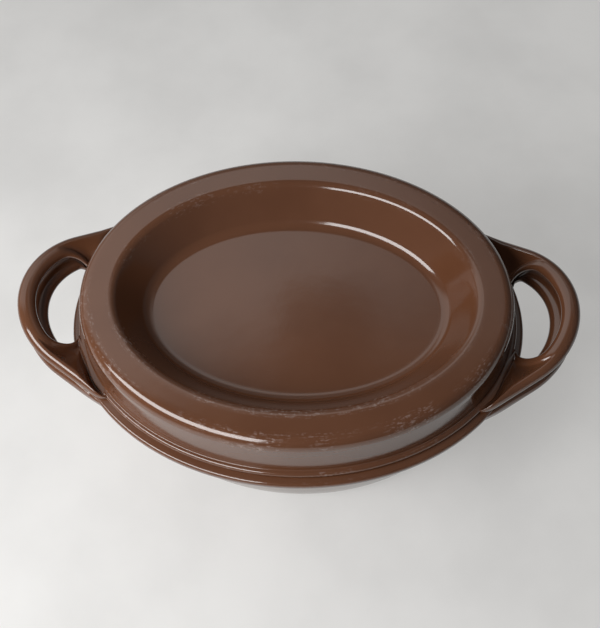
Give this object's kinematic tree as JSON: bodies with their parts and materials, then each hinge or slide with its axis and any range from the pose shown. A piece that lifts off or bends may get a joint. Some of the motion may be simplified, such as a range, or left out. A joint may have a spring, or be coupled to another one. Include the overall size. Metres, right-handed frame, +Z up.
{
  "type": "oval dutch oven",
  "caption": "Oval enamelled cast-iron dutch oven: tapered pot with rising loop handles and a lift-off lid with a sunken water well and matching loops.",
  "frame": {"origin": "middle of the pot's base, on the surface that it stands on", "axes": "+X along the pot's length towards the right handles, +Y across it, +Z up towards the lid"},
  "size_m": [0.3492, 0.2246, 0.1429],
  "materials": {
    "enamel_outer": "glossy brown vitreous enamel",
    "enamel_inner": "satin black enamel inside"
  },
  "bodies": {
    "pot": {"pot_body": "enamel_outer", "pot_rim": "enamel_outer", "pot_handle_left": "enamel_outer", "pot_handle_right": "enamel_outer"},
    "lid": {"lid_well": "enamel_outer", "lid_crown": "enamel_outer", "lid_brim": "enamel_outer", "lid_locating_rib": "enamel_inner", "lid_handle_left": "enamel_outer", "lid_handle_right": "enamel_outer", "lid_drip_studs": "enamel_inner"}
  },
  "joints": [
    {"name": "lid_lift", "type": "slide", "parent": "pot", "child": "lid", "axis": [0, 0, 1], "range_m": [0, 0.15]}
  ]
}
